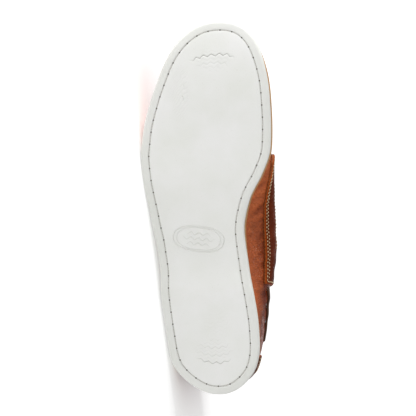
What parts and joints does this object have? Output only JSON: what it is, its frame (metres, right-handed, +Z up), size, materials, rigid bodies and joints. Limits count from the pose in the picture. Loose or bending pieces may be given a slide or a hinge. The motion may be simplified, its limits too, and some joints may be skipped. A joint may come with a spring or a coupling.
{
  "type": "boat shoe",
  "caption": "Right boat shoe in brown leather with a white rubber sole, moccasin seam and side laces, lying on its lateral side.",
  "frame": {"origin": "centre of the bounding box, on the floor that the shoe lies on", "axes": "-X towards the toe, -Y the way the sole faces, +Z up towards the shoe's medial side"},
  "size_m": [0.293, 0.1006, 0.1091],
  "materials": {
    "sole_rubber": "matte",
    "raw_leather_edge": "raw",
    "upper_leather": "satin",
    "strap_leather": "satin",
    "lining_leather": "matte",
    "lace_leather": "matte",
    "eyelet_brass": "aged"
  },
  "bodies": {
    "root": {"outsole": "sole_rubber", "midsole": "raw_leather_edge", "insole": "lining_leather", "upper": "upper_leather", "tongue": "upper_leather", "quarter_strap_medial": "strap_leather", "quarter_strap_lateral": "strap_leather", "heel_counter": "strap_leather", "lace_side_medial": "lace_leather", "lace_side_lateral": "lace_leather", "lace_heel_medial": "lace_leather", "lace_heel_lateral": "lace_leather", "lace_front": "lace_leather", "eyelet_1": "eyelet_brass", "eyelet_2": "eyelet_brass", "eyelet_3": "eyelet_brass", "eyelet_4": "eyelet_brass"}
  },
  "joints": []
}
